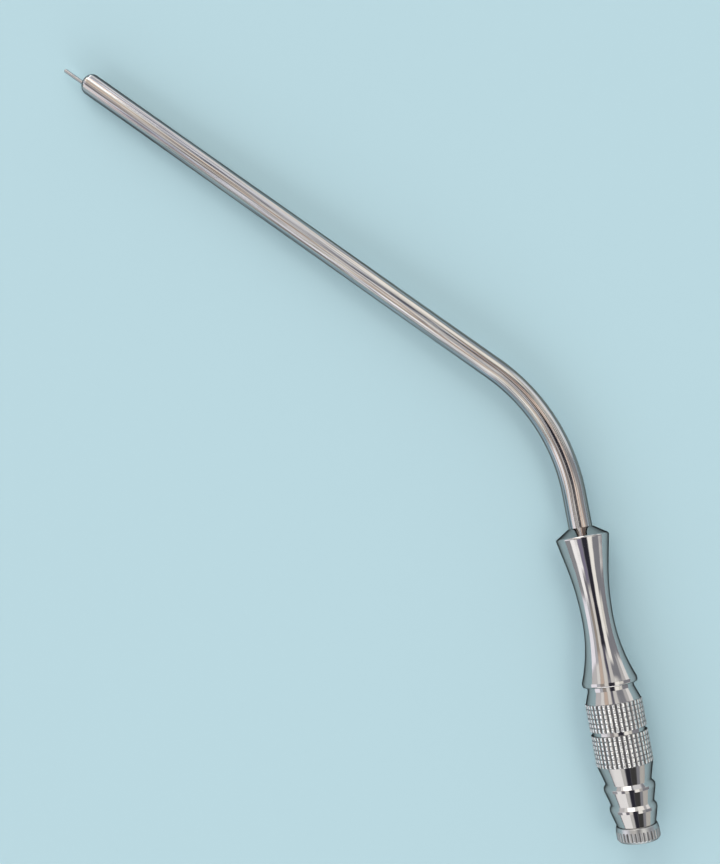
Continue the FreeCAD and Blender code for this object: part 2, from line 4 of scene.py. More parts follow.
import bpy
import numpy as np
from mathutils import Euler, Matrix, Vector


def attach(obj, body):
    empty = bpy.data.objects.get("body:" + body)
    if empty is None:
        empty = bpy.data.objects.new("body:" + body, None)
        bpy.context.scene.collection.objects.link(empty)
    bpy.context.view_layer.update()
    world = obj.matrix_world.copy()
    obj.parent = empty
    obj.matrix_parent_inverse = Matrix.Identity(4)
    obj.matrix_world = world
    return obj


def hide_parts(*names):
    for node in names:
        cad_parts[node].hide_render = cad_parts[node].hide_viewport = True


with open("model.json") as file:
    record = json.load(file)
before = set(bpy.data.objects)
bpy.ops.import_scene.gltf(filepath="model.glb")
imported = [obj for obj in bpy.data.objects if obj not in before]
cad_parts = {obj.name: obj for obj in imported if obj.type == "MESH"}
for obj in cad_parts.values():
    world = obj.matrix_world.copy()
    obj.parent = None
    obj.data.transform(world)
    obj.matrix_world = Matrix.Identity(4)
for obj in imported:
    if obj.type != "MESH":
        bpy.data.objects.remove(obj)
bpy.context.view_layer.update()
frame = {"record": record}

# An angled suction tube with a turned grip, a ribbed hose connector and a stylet. Lengths are
# millimetres and angles degrees, unless a name says otherwise. Stations count backwards along
# the grip's axis from its front end, and distances along a bent piece count forwards.
MM = 0.001
FULL = 2 * math.pi

# The bent tube.
TUBE_RADIUS = 2.0
BORE_RADIUS = 1.6
SEAT_DEPTH = 12.0
TUBE_LEAD = 5.75
BEND_RADIUS = 34.2
BEND_ANGLE = 43.8
LEG_LENGTH = 92.0
NOSE_ROUNDING = 1.4
MOUTH_RADIUS = 1.0
LIP_ROUNDING = 0.12

# The grip.
SEAT_RADIUS = 2.02
LIP_RADIUS = 2.12
FRONT_CONE = 1.55
FRONT_TAPER = 11.5
WAIST_AT = 15.5
WAIST_RADIUS = 2.62
FRONT_WAIST_ARC = 46.0
REAR_WAIST_ARC = 27.0
REAR_RIM_AT = 25.6
REAR_RIM_BACK = 26.35
FRONT_RIM_ROUNDING = 0.4
REAR_RIM_ROUNDING = 0.3
NECK_RADIUS = 3.85
NECK_BACK = 27.05
COLLAR_RADIUS = 4.57
COLLAR_BACK = 29.05
GRIP_BACK = 33.6
SOCKET_RADIUS = 3.0
SOCKET_FRONT = 27.1

# Both knurled bands.
KNURL_RADIUS = 4.74
KNURL_EDGE = 0.1
FLUTE_COUNT = 36
FLUTE_DEPTH = 0.28
FLUTE_HALF_ANGLE = 42.0
RING_DEPTH = 0.15
RING_HALF_ANGLE = 45.0
FRONT_BEADS = 6
REAR_BEADS = 7

# The hose connector.
SPIGOT_RADIUS = 2.95
SPIGOT_FRONT = 27.6
SPIGOT_CHAMFER = 0.3
GROOVE_RADIUS = 4.36
KNURL_FRONT = 34.25
KNURL_BACK = 39.35
BARB_ROOT = 4.62
BARB_ANGLE = 16.0
FIRST_VALLEY = 42.35
LARGE_CREST_AT = 42.95
SECOND_VALLEY = 45.8
SMALL_CREST_AT = 46.4
CREST_LAND = 0.45
LARGE_CREST = 4.23
SMALL_CREST = 3.89
CREST_ROUNDING = 0.1
OUTLET = 49.3
OUTLET_CHAMFER = 0.2

# The stylet's knob and wire.
KNOB_FRONT_RADIUS = 3.4
KNOB_RADIUS = 3.56
KNOB_TAPER = 0.9
KNOB_COLLAR = 0.65
KNOB_BACK = 51.8
KNOB_CHAMFER = 0.42
KNOB_ROUNDING = 0.15
KNOB_END_RING = 1.0
SERRATION_COUNT = 32
SERRATION_DEPTH = 0.16
SERRATION_HALF_ANGLE = 50.0
PLUG_RADIUS = 1.55
PLUG_FRONT = 42.3
PLUG_CHAMFER = 0.3
WIRE_RADIUS = 0.35
WIRE_HOLE = 0.37
WIRE_BACK = 50.5
WIRE_OFFSET = 0.6
WIRE_REACH = 4.7
WIRE_ROUNDING = 0.2

# How far a polished edge is broken, and how soft the corners of the flutes, beads and
# serrations are. A rounding takes at most a share of the runs beside it.
EDGE_BREAK = 0.05
LIP_BREAK = 0.02
KNURL_SOFTNESS = 0.055
SERRATION_SOFTNESS = 0.03
ROUNDING_SHARE = 0.45

# How finely the meshes are cut. One step of an arc turns by ARC_STEP at most, and a corner that
# turns by less than LEAST_TURN stays sharp, both in radians. The plain rings beside a fluted
# band have its columns divided by COARSER. A band's normals come from radii NORMAL_STEP to each
# side, in millimetres along it and radians round it.
ARC_STEP = math.radians(9)
LEAST_TURN = 1e-4
BEND_STEPS = 60
WAIST_STEPS = 24
TUBE_COLUMNS = 128
WIRE_COLUMNS = 32
COARSER = 2
NORMAL_STEP = 0.004

# Where the columns of half a flute and the rings of a bead stand, as shares of its width.
FLUTE_SHARES = (0.0, 0.07, 0.15, 0.23, 0.30, 0.36, 0.43, 0.5)
BEAD_SHARES = (0.0, 0.05, 0.10, 0.15, 0.20, 0.26, 0.38, 0.5, 0.62, 0.74, 0.80, 0.85, 0.90, 0.95)


def mount(name):
    """Place, in metres, and axis of one of the record's mounts."""
    for row in frame["record"]["mounts"]:
        if row["name"] == name:
            return Vector(row["pos_m"]), Vector(row["axis"]).normalized()
    raise ValueError(name)


# The grip's axis and the direction of the tube's leg fix where everything lies.
crest_place, BACK = mount("hose_barb")
leg_direction = mount("tube_shaft")[1]
FORWARD = -BACK
SIDE = (leg_direction - FORWARD * leg_direction.dot(FORWARD)).normalized()
UP = FORWARD.cross(SIDE)
TIP = crest_place - BACK * (LARGE_CREST_AT + CREST_LAND / 2) * MM


class Route:
    """Planar centre line: straight, then one bend, in radians, and a straight leg. With no
    bend it is a straight line."""

    def __init__(self, start, forward, straight=0.0, bend=0.0):
        self.start = start
        self.forward = forward
        self.straight = straight
        self.bend = bend

    def leg_starts(self):
        """Distance at which the bend is over."""
        return self.straight + BEND_RADIUS * self.bend

    def at(self, distance):
        """Centre in metres, direction and side at a distance along the route."""
        if self.bend == 0 or distance <= self.straight:
            return self.start + self.forward * distance * MM, self.forward, SIDE
        turned = min((distance - self.straight) / BEND_RADIUS, self.bend)
        across = BEND_RADIUS * (1 - math.cos(turned))
        along = self.straight + BEND_RADIUS * math.sin(turned)
        direction = self.forward * math.cos(turned) + SIDE * math.sin(turned)
        side = SIDE * math.cos(turned) - self.forward * math.sin(turned)
        rest = distance - self.straight - BEND_RADIUS * turned
        centre = self.start + (self.forward * along + SIDE * across + direction * rest) * MM
        return centre, direction, side


def turned_vector(vector, angle):
    """The flat vector, turned by an angle in radians."""
    return Vector((vector.x * math.cos(angle) - vector.y * math.sin(angle),
                   vector.x * math.sin(angle) + vector.y * math.cos(angle)))


def outward(run):
    """Normal of an outline's run: on the left of the way that the outline goes."""
    return Vector((-run.y, run.x))


def outline(corners):
    """Plain rings of a closed outline, in one list for each of its corners. A corner is (along,
    radius, rounding). A corner with rounding None only guides its neighbours' directions."""
    rings = []
    for place, (along, radius, rounding) in enumerate(corners):
        if rounding is None:
            rings.append([])
            continue
        here = Vector((along, radius))
        run_in = here - Vector(corners[place - 1][:2])
        run_out = Vector(corners[(place + 1) % len(corners)][:2]) - here
        room = ROUNDING_SHARE * min(run_in.length, run_out.length)
        run_in.normalize()
        run_out.normalize()
        turn = math.atan2(run_in.x * run_out.y - run_in.y * run_out.x, run_in.dot(run_out))
        if rounding == 0 or abs(turn) < LEAST_TURN:
            rings.append([plain_ring(here, outward(run_in + run_out))])
            continue
        cut = min(rounding * math.tan(abs(turn) / 2), room)
        bow = cut / math.tan(abs(turn) / 2)
        inward = outward(run_in) * math.copysign(bow, turn)
        centre = here - run_in * cut + inward
        steps = max(2, math.ceil(abs(turn) / ARC_STEP))
        corner = []
        for step in range(steps + 1):
            angle = turn * step / steps
            spot = centre - turned_vector(inward, angle)
            corner.append(plain_ring(spot, outward(turned_vector(run_in, angle))))
        rings.append(corner)
    return rings


def joined(lists):
    """One list of all that the lists hold."""
    return [item for one in lists for item in one]


def plain_ring(spot, normal):
    """Round ring at (along, radius), with its normal's parts along and outwards."""
    return {"along": spot.x, "radius": spot.y, "normal": (normal.x, normal.y, 0.0)}


def soft_positive(value, softness):
    """Zero where the value is negative, the value elsewhere, and a soft corner between."""
    return (value + np.sqrt(value * value + softness ** 2)) / 2


def band_angles(count):
    """Angles round a fluted band, closer together where a flute's wall begins and ends."""
    shares = np.array(FLUTE_SHARES)
    one = np.concatenate([shares, 1 - shares[-2:0:-1]])
    return np.concatenate([one + turn for turn in range(count)]) / count * FULL


class Band:
    """Band with straight V flutes, parted by shallow rings into rows of beads where it has more
    than one. Its crest is a list of (station, radius). At each end, front first, the flutes run
    out through a flat face or fade within an edge's width."""

    def __init__(self, front, back, crest, count, depth, half_angle, softness, beads, runs_out):
        self.front = front
        self.back = back
        self.crest = crest
        self.floor = max(radius for _, radius in crest) - depth
        self.ring_floor = max(radius for _, radius in crest) - RING_DEPTH
        self.count = count
        self.spread = math.tan(math.radians(half_angle))
        self.softness = softness
        self.beads = beads
        self.runs_out = runs_out
        self.angles = band_angles(count)

    def radius(self, along, angles):
        """Radii at one station, for many angles."""
        blunt = self.softness / 3
        stations, radii = zip(*self.crest)
        crest = np.interp(along, stations, radii)
        turn = FULL / self.count
        off = (angles + turn / 2) % turn - turn / 2
        across = np.hypot(self.floor * np.sin(off), blunt)
        cut = soft_positive(crest - self.floor - across / self.spread, self.softness)
        for end, past in zip(self.runs_out, (along - self.front, self.back - along)):
            if not end:
                cut = cut * np.clip(past / EDGE_BREAK, 0, 1)
        if self.beads > 1:
            pitch = (self.back - self.front) / self.beads
            near = min(max(round((along - self.front) / pitch), 1), self.beads - 1)
            gap = math.hypot(along - self.front - near * pitch, blunt)
            spread = math.tan(math.radians(RING_HALF_ANGLE))
            ring = soft_positive(crest - self.ring_floor - gap / spread, self.softness)
            cut = (cut + ring + np.hypot(cut - ring, self.softness / 2)) / 2
        return crest - cut

    def ring(self, along):
        """Ring that follows the flutes, with the normals that its own shape gives."""
        step = NORMAL_STEP
        radius = self.radius(along, self.angles)
        rise = self.radius(along + step, self.angles) - self.radius(along - step, self.angles)
        swing = self.radius(along, self.angles + step) - self.radius(along, self.angles - step)
        normal = (-rise / (2 * step), np.ones(len(radius)), -swing / (2 * step) / radius)
        return {"along": along, "radius": radius, "normal": normal, "angles": self.angles}

    def face(self, along, way):
        """Ring on the band's flat end, just inside its scalloped edge."""
        radius = self.radius(along, self.angles) - EDGE_BREAK / 2
        return {"along": along, "radius": radius, "normal": (way, 0.0, 0.0),
                "angles": self.angles}

    def rings(self):
        """All of the band's rings, front to back."""
        pitch = (self.back - self.front) / self.beads
        stations = [self.front + (bead + share) * pitch
                    for bead in range(self.beads) for share in BEAD_SHARES]
        stations = [self.front + EDGE_BREAK / 2] + stations[1:] + [self.back - EDGE_BREAK / 2]
        rings = [self.ring(along) for along in stations]
        if self.runs_out[0]:
            rings.insert(0, self.face(self.front, -1.0))
        if self.runs_out[1]:
            rings.append(self.face(self.back, 1.0))
        return rings


def stitch(first, second):
    """Faces between two rings of vertex numbers. The rings have as many columns, or the finer
    one a whole number of times the coarser one's."""
    faces = []
    swapped = len(first) > len(second)
    coarse, fine = (second, first) if swapped else (first, second)
    share = len(fine) // len(coarse)
    for column in range(len(coarse)):
        after = (column + 1) % len(coarse)
        run = [fine[(column * share + step) % len(fine)] for step in range(share + 1)]
        face = [coarse[column]] + run + [coarse[after]]
        faces.append(face[::-1] if swapped else face)
    return faces


def build(name, rings, route, columns, closed=True):
    """Mesh skinned over rings along a route: a closed loop of rings, or a chain with caps."""
    positions = []
    normals = []
    places = []
    loops = []
    total = 0
    for ring in rings:
        angles = ring.get("angles", columns)
        centre, direction, side = (np.array(part) for part in route.at(ring["along"]))
        out = np.outer(np.cos(angles), side) + np.outer(np.sin(angles), UP)
        round_way = np.outer(-np.sin(angles), side) + np.outer(np.cos(angles), UP)
        radius = np.broadcast_to(ring["radius"], angles.shape)
        parts = [np.broadcast_to(part, angles.shape)[:, None] for part in ring["normal"]]
        positions.append(centre + out * radius[:, None] * MM)
        normals.append(direction * parts[0] + out * parts[1] + round_way * parts[2])
        along = np.full(len(angles), ring["along"])
        places.append(np.column_stack([np.cos(angles) * radius, np.sin(angles) * radius, along]))
        loops.append(list(range(total, total + len(angles))))
        total += len(angles)
    faces = joined(stitch(first, second) for first, second in zip(loops[:-1], loops[1:]))
    if closed:
        faces += stitch(loops[-1], loops[0])
    else:
        faces += [loops[0], loops[-1][::-1]]
    if side.dot(np.cross(UP, direction)) > 0:
        faces = [face[::-1] for face in faces]
    return shaped(name, np.concatenate(positions), faces, np.concatenate(normals),
                  np.concatenate(places))


def shaped(name, positions, faces, normals, places):
    """Object with smooth shading from its own normals, and a place for the materials to read."""
    mesh = bpy.data.meshes.new(name)
    mesh.from_pydata(positions.tolist(), [], faces)
    mesh.update()
    mesh.polygons.foreach_set("use_smooth", np.ones(len(mesh.polygons), bool))
    normals = normals / np.linalg.norm(normals, axis=1)[:, None]
    mesh.normals_split_custom_set_from_vertices(normals.tolist())
    spots = mesh.attributes.new("place", "FLOAT_VECTOR", "POINT")
    spots.data.foreach_set("vector", places.ravel())
    piece = bpy.data.objects.new(name, mesh)
    bpy.context.scene.collection.objects.link(piece)
    return piece


def even_columns(count):
    """Angles of evenly spaced columns, in radians."""
    return np.arange(count) / count * FULL


def build_banded(name, before, band, after, closed=True):
    """Turned mesh on the grip's axis: an outline, with a band between two of its corners."""
    rings = outline(before + after)
    rings = joined(rings[:len(before)]) + band.rings() + joined(rings[len(before):])
    return build(name, rings, Route(TIP, BACK), band.angles[::COARSER], closed)


def arc_corners(centre, radius, start, end):
    """Points of an arc, ends included, in the plane of (along, radius), with no rounding."""
    steps = max(2, math.ceil(abs(math.radians(end - start)) / ARC_STEP))
    points = []
    for step in range(steps + 1):
        angle = math.radians(start + (end - start) * step / steps)
        points.append((centre[0] + radius * math.cos(angle),
                       centre[1] + radius * math.sin(angle), 0.0))
    return points


def make_tube():
    """Bent tube, rolled in to a rounded nose. Its bore is open all the way."""
    route = Route(TIP + BACK * SEAT_DEPTH * MM, FORWARD, SEAT_DEPTH + TUBE_LEAD,
                  math.radians(BEND_ANGLE))
    bend = np.linspace(route.straight, route.leg_starts(), BEND_STEPS)
    end = route.leg_starts() + LEG_LENGTH
    inner = NOSE_ROUNDING - (TUBE_RADIUS - BORE_RADIUS)
    low = TUBE_RADIUS - NOSE_ROUNDING
    nose = math.degrees(math.acos((MOUTH_RADIUS - low) / NOSE_ROUNDING))
    inside = math.degrees(math.acos((MOUTH_RADIUS - low) / inner))
    corners = [(0.0, BORE_RADIUS, EDGE_BREAK), (0.0, TUBE_RADIUS, EDGE_BREAK)]
    corners += [(along, TUBE_RADIUS, 0.0) for along in bend]
    corners += arc_corners((end, low), NOSE_ROUNDING, 90, 90 - nose)[:-1]
    mouth = end + NOSE_ROUNDING * math.sin(math.radians(nose))
    corners.append((mouth, MOUTH_RADIUS, LIP_ROUNDING))
    corners += arc_corners((end, low), inner, 90 - inside, 90)
    corners += [(along, BORE_RADIUS, 0.0) for along in bend[::-1]]
    return build("suction_tube_drawn", joined(outline(corners)), route,
                 even_columns(TUBE_COLUMNS))


def make_wire():
    """Stylet wire: it leans on the inner side of the mouth, so it turns before the tube does."""
    bend = math.radians(BEND_ANGLE)
    straight = WIRE_BACK + TUBE_LEAD - WIRE_OFFSET / math.sin(bend)
    route = Route(TIP + BACK * WIRE_BACK * MM, FORWARD, straight, bend)
    low = TUBE_RADIUS - NOSE_ROUNDING
    nose_top = math.sqrt(NOSE_ROUNDING ** 2 - (MOUTH_RADIUS - low) ** 2)
    leg = LEG_LENGTH + nose_top + WIRE_REACH + WIRE_OFFSET / math.tan(bend)
    end = route.leg_starts() + leg
    corners = [(0.0, 0.0, None), (0.0, WIRE_RADIUS, EDGE_BREAK)]
    corners += [(along, WIRE_RADIUS, 0.0)
                for along in np.linspace(route.straight, route.leg_starts(), BEND_STEPS)]
    corners += [(end, WIRE_RADIUS, WIRE_ROUNDING), (end, -WIRE_RADIUS, None)]
    return build("stylet_wire_drawn", joined(outline(corners)), route,
                 even_columns(WIRE_COLUMNS), closed=False)


def grip_outline():
    """Waisted outline from the front rim to the rear rim, without the rims' corners."""
    taper = math.radians(FRONT_TAPER)
    taper_back = WAIST_AT - FRONT_WAIST_ARC * math.sin(taper)
    foot = WAIST_RADIUS + FRONT_WAIST_ARC * (1 - math.cos(taper))
    front_rim = foot + (taper_back - FRONT_CONE) * math.tan(taper)
    reach = math.degrees(math.asin((REAR_RIM_AT - WAIST_AT) / REAR_WAIST_ARC))
    rear_rim = WAIST_RADIUS + REAR_WAIST_ARC * (1 - math.cos(math.radians(reach)))
    points = []
    for radius, start, end in ((FRONT_WAIST_ARC, -FRONT_TAPER, 0.0), (REAR_WAIST_ARC, 0.0, reach)):
        for step in range(WAIST_STEPS + (start == 0)):
            angle = math.radians(start + (end - start) * step / WAIST_STEPS)
            points.append((WAIST_AT + radius * math.sin(angle),
                           WAIST_RADIUS + radius * (1 - math.cos(angle)), 0.0))
    return front_rim, points, rear_rim


def make_grip():
    """Waisted grip with its front cone, neck and knurled collar, bored and socketed."""
    front_rim, waist, rear_rim = grip_outline()
    band = Band(COLLAR_BACK, GRIP_BACK,
                [(COLLAR_BACK, COLLAR_RADIUS), (COLLAR_BACK + KNURL_EDGE, KNURL_RADIUS),
                 (GRIP_BACK - KNURL_EDGE, KNURL_RADIUS), (GRIP_BACK, KNURL_RADIUS - KNURL_EDGE)],
                FLUTE_COUNT, FLUTE_DEPTH, FLUTE_HALF_ANGLE, KNURL_SOFTNESS, FRONT_BEADS,
                (False, True))
    before = [(0.0, SEAT_RADIUS, LIP_BREAK), (0.0, LIP_RADIUS, LIP_BREAK),
              (FRONT_CONE, front_rim, FRONT_RIM_ROUNDING)]
    before += waist[:-1]
    before += [(REAR_RIM_AT, rear_rim, REAR_RIM_ROUNDING),
               (REAR_RIM_BACK, rear_rim, REAR_RIM_ROUNDING),
               (REAR_RIM_BACK, NECK_RADIUS, EDGE_BREAK), (NECK_BACK, NECK_RADIUS, EDGE_BREAK),
               (COLLAR_BACK, COLLAR_RADIUS, EDGE_BREAK), (GRIP_BACK, COLLAR_RADIUS, None)]
    after = [(GRIP_BACK, GROOVE_RADIUS, None), (GRIP_BACK, SOCKET_RADIUS, EDGE_BREAK),
             (SOCKET_FRONT, SOCKET_RADIUS, EDGE_BREAK), (SOCKET_FRONT, BORE_RADIUS, EDGE_BREAK),
             (SEAT_DEPTH, BORE_RADIUS, EDGE_BREAK), (SEAT_DEPTH, SEAT_RADIUS, EDGE_BREAK)]
    return build_banded("grip_turned", before, band, after)


def make_connector():
    """Hose connector: spigot, parting groove, knurled band and three barbs, bored through."""
    slope = math.tan(math.radians(BARB_ANGLE))
    first_low = BARB_ROOT - (FIRST_VALLEY - KNURL_BACK) * slope
    second_low = LARGE_CREST - (SECOND_VALLEY - LARGE_CREST_AT - CREST_LAND) * slope
    third_low = SMALL_CREST - (OUTLET - SMALL_CREST_AT - CREST_LAND) * slope
    low = KNURL_RADIUS - KNURL_EDGE
    band = Band(KNURL_FRONT, KNURL_BACK,
                [(KNURL_FRONT, low), (KNURL_FRONT + KNURL_EDGE, KNURL_RADIUS),
                 (KNURL_BACK - KNURL_EDGE, KNURL_RADIUS), (KNURL_BACK, low)],
                FLUTE_COUNT, FLUTE_DEPTH, FLUTE_HALF_ANGLE, KNURL_SOFTNESS, REAR_BEADS,
                (True, False))
    before = [(SPIGOT_FRONT, BORE_RADIUS, EDGE_BREAK),
              (SPIGOT_FRONT, SPIGOT_RADIUS - SPIGOT_CHAMFER, EDGE_BREAK),
              (SPIGOT_FRONT + SPIGOT_CHAMFER, SPIGOT_RADIUS, EDGE_BREAK),
              (GRIP_BACK, SPIGOT_RADIUS, EDGE_BREAK), (GRIP_BACK, GROOVE_RADIUS, EDGE_BREAK),
              (KNURL_FRONT, GROOVE_RADIUS, EDGE_BREAK), (KNURL_FRONT, low, None)]
    after = [(KNURL_BACK - KNURL_EDGE, KNURL_RADIUS, None),
             (KNURL_BACK, BARB_ROOT, EDGE_BREAK), (FIRST_VALLEY, first_low, EDGE_BREAK),
             (LARGE_CREST_AT, LARGE_CREST, CREST_ROUNDING),
             (LARGE_CREST_AT + CREST_LAND, LARGE_CREST, EDGE_BREAK),
             (SECOND_VALLEY, second_low, EDGE_BREAK),
             (SMALL_CREST_AT, SMALL_CREST, CREST_ROUNDING),
             (SMALL_CREST_AT + CREST_LAND, SMALL_CREST, EDGE_BREAK),
             (OUTLET, third_low, EDGE_BREAK),
             (OUTLET, BORE_RADIUS + OUTLET_CHAMFER, EDGE_BREAK),
             (OUTLET - OUTLET_CHAMFER, BORE_RADIUS, EDGE_BREAK)]
    return build_banded("hose_connector_turned", before, band, after)


def make_knob():
    """Serrated knob of the stylet, with its plug and the blind hole that holds the wire."""
    rear = KNOB_BACK - KNOB_CHAMFER
    wide = OUTLET + KNOB_TAPER
    start = OUTLET + KNOB_COLLAR
    begins = KNOB_FRONT_RADIUS + (KNOB_RADIUS - KNOB_FRONT_RADIUS) * KNOB_COLLAR / KNOB_TAPER
    band = Band(start, KNOB_BACK - EDGE_BREAK,
                [(start, begins), (wide, KNOB_RADIUS), (rear, KNOB_RADIUS),
                 (KNOB_BACK, KNOB_RADIUS - KNOB_CHAMFER)],
                SERRATION_COUNT, SERRATION_DEPTH, SERRATION_HALF_ANGLE, SERRATION_SOFTNESS, 1,
                (False, True))
    before = [(WIRE_BACK, 0.0, None), (WIRE_BACK, WIRE_HOLE, EDGE_BREAK),
              (PLUG_FRONT, WIRE_HOLE, EDGE_BREAK),
              (PLUG_FRONT, PLUG_RADIUS - PLUG_CHAMFER, EDGE_BREAK),
              (PLUG_FRONT + PLUG_CHAMFER, PLUG_RADIUS, EDGE_BREAK),
              (OUTLET, PLUG_RADIUS, EDGE_BREAK), (OUTLET, KNOB_FRONT_RADIUS, KNOB_ROUNDING),
              (start, begins, 0.0), (wide, KNOB_RADIUS, None)]
    after = [(KNOB_BACK, KNOB_RADIUS - KNOB_CHAMFER, None), (KNOB_BACK, KNOB_END_RING, 0.0),
             (KNOB_BACK, 0.0, None)]
    return build_banded("stylet_knob_serrated", before, band, after, closed=False)


class Nodes:
    """Short way to write a material's or the world's nodes."""

    def __init__(self, tree):
        self.tree = tree
        self.tree.nodes.clear()

    def add(self, kind, sockets=None, **settings):
        """New node. A socket, named or numbered, is linked or gets a value."""
        node = self.tree.nodes.new(kind)
        for name, value in settings.items():
            setattr(node, name, value)
        for socket, value in (sockets or {}).items():
            if isinstance(value, bpy.types.NodeSocket):
                self.tree.links.new(value, node.inputs[socket])
            else:
                node.inputs[socket].default_value = value
        return node

    def math(self, operation, first, second=0.0, third=0.0):
        """Result of a sum with one to three values."""
        sockets = {0: first, 1: second, 2: third}
        return self.add("ShaderNodeMath", sockets, operation=operation).outputs[0]

    def noise(self, vector, scale, detail, roughness=0.5):
        """Soft random value from 0 to 1, with the same scale along every axis."""
        sockets = {"Vector": vector, "Scale": scale, "Detail": detail, "Roughness": roughness}
        return self.add("ShaderNodeTexNoise", sockets).outputs["Fac"]

    def stretched(self, vector, scale):
        """The vector times a scale for each axis."""
        sockets = {0: vector, 1: scale}
        return self.add("ShaderNodeVectorMath", sockets, operation="MULTIPLY").outputs[0]

    def streaks(self, vector, scales, detail):
        """Noise with a scale for each axis."""
        return self.noise(self.stretched(vector, scales), 1.0, detail)

    def ramp(self, value, low, high, new_low, new_high):
        """The value from one range, clamped and brought to another."""
        sockets = {"Value": value, "From Min": low, "From Max": high,
                   "To Min": new_low, "To Max": new_high}
        return self.add("ShaderNodeMapRange", sockets).outputs[0]


def new_nodes(name):
    """New material and its nodes."""
    material = bpy.data.materials.new(name)
    material.use_nodes = True
    return material, Nodes(material.node_tree)


def place_input(nodes):
    """Where a point is on its piece: across, up and along, in millimetres."""
    return nodes.add("ShaderNodeAttribute", attribute_name="place").outputs["Vector"]


# The finishes. A noise's scales run across, up and along its piece, per millimetre, and heights
# are millimetres. A colour fades in between the two values of a noise, or on a fluted band the
# two shares of its depth, that its FADE gives. EDGE_TINT is how strongly the metals still
# reflect when seen almost edge on, and USUAL_NOISE is where most of a noise lies.
EDGE_TINT = (0.035, 0.03, 0.03)
USUAL_NOISE = (0.3, 0.7)

TUBE_LINES = (2.6, 2.6, 0.02)
TUBE_LINE_HEIGHT = 0.13
TUBE_WAVES = (0.5, 0.5, 0.04)
TUBE_WAVE_HEIGHT = 0.2
TUBE_HUES = (1.6, 1.6, 0.012)
TUBE_HUE_FADE = (0.42, 0.58)
TUBE_COOL = (0.53, 0.53, 0.56)
TUBE_WARM = (0.60, 0.575, 0.53)
# Painted reflections: reddish-brown and dark streaks along the tube stand for bands mirrored in
# it.
TUBE_WARM_REFLECTION_LINES = (3.2, 3.2, 0.025)
TUBE_WARM_REFLECTION_FADE = (0.58, 0.63)
TUBE_PAINTED_WARM_REFLECTION = (0.54, 0.44, 0.385)
TUBE_DARK_REFLECTION_LINES = (4.5, 4.5, 0.03)
TUBE_DARK_REFLECTION_FADE = (0.46, 0.36)
TUBE_PAINTED_DARK_REFLECTION = (0.24, 0.225, 0.24)
TUBE_SMEAR = (1.5, 1.5, 0.4)
TUBE_ROUGHNESS = (0.06, 0.12)

TOOL_LINES = (0.15, 0.15, 12.0)
TOOL_LINE_HEIGHT = 0.0006
CHROME_WAVES = (0.5, 0.5, 0.2)
CHROME_WAVE_HEIGHT = 0.03
CHROME_SMEAR = (0.9, 0.9, 0.5)
CHROME_DULL = (0.50, 0.48, 0.47)
CHROME_BRIGHT = (0.55, 0.53, 0.52)
CHROME_ROUGHNESS = (0.04, 0.10)
KNURL_GRAIN = 2.8
KNURL_GRAIN_HEIGHT = 0.12
# Painted light on the knurled bands: painted shade in the cuts, a painted highlight on the crests.
KNURL_PAINTED_SHADE = (0.27, 0.265, 0.27)
KNURL_PAINTED_HIGHLIGHT = (0.95, 0.94, 0.92)
KNURL_HIGHLIGHT_FADE = (0.85, 0.25)
KNURL_EXTRA_ROUGHNESS = 0.15

WIRE_LINES = (30.0, 30.0, 0.2)
WIRE_LINE_HEIGHT = 0.001
WIRE_DULL = (0.44, 0.435, 0.43)
WIRE_BRIGHT = (0.54, 0.535, 0.53)
WIRE_ROUGHNESS = (0.07, 0.13)

SATIN_GRAIN = 14.0
SATIN_GRAIN_HEIGHT = 0.002
SATIN_SMEAR = 1.2
SATIN_DULL = (0.49, 0.485, 0.48)
SATIN_BRIGHT = (0.58, 0.575, 0.57)
SATIN_ROUGHNESS = (0.28, 0.38)
# Painted shade at the foot of the knob's serrations.
SERRATION_PAINTED_SHADE = (0.17, 0.165, 0.165)
SERRATION_SHADE_FADE = (0.2, 0.8)
SERRATION_SHADE_COVER = 0.9


def finish(nodes, color, roughness, height):
    """Metal shader with a varied colour and roughness, and a bump from a height."""
    bump = nodes.add("ShaderNodeBump", {"Height": height, "Strength": 1.0, "Distance": MM})
    sockets = {"Metallic": 1.0, "Roughness": roughness, "Base Color": color,
               "Specular Tint": (*EDGE_TINT, 1.0), "Normal": bump.outputs[0]}
    shader = nodes.add("ShaderNodeBsdfPrincipled", sockets)
    nodes.add("ShaderNodeOutputMaterial", {"Surface": shader.outputs[0]})


def over(nodes, color, amount, shade):
    """The colour, covered by one shade as far as the amount says."""
    sockets = {0: amount, 6: color, 7: (*shade, 1.0)}
    return nodes.add("ShaderNodeMix", sockets, data_type="RGBA").outputs[2]


def tint(nodes, value, low, high):
    """Colour between two, by a value from 0 to 1."""
    return over(nodes, (*low, 1.0), value, high)


def roughness_from(nodes, noise, limits):
    """Roughness between two limits, varied by a noise."""
    return nodes.ramp(noise, *USUAL_NOISE, *limits)


def depth_fade(nodes, place, crest, depth, fade, most=1.0):
    """Fades in between two shares of a fluted band's depth under its crest."""
    low, high = (crest - depth * share for share in fade)
    return nodes.ramp(off_axis(nodes, place), low, high, 0.0, most)


def off_axis(nodes, place):
    """How far a point lies from its piece's axis, in millimetres."""
    flat = nodes.stretched(place, (1.0, 1.0, 0.0))
    return nodes.add("ShaderNodeVectorMath", {0: flat}, operation="LENGTH").outputs["Value"]


def is_between(nodes, place, front, back):
    """One between two stations and zero elsewhere."""
    station = nodes.add("ShaderNodeSeparateXYZ", {"Vector": place}).outputs["Z"]
    return nodes.math("COMPARE", station, (front + back) / 2, (back - front) / 2)


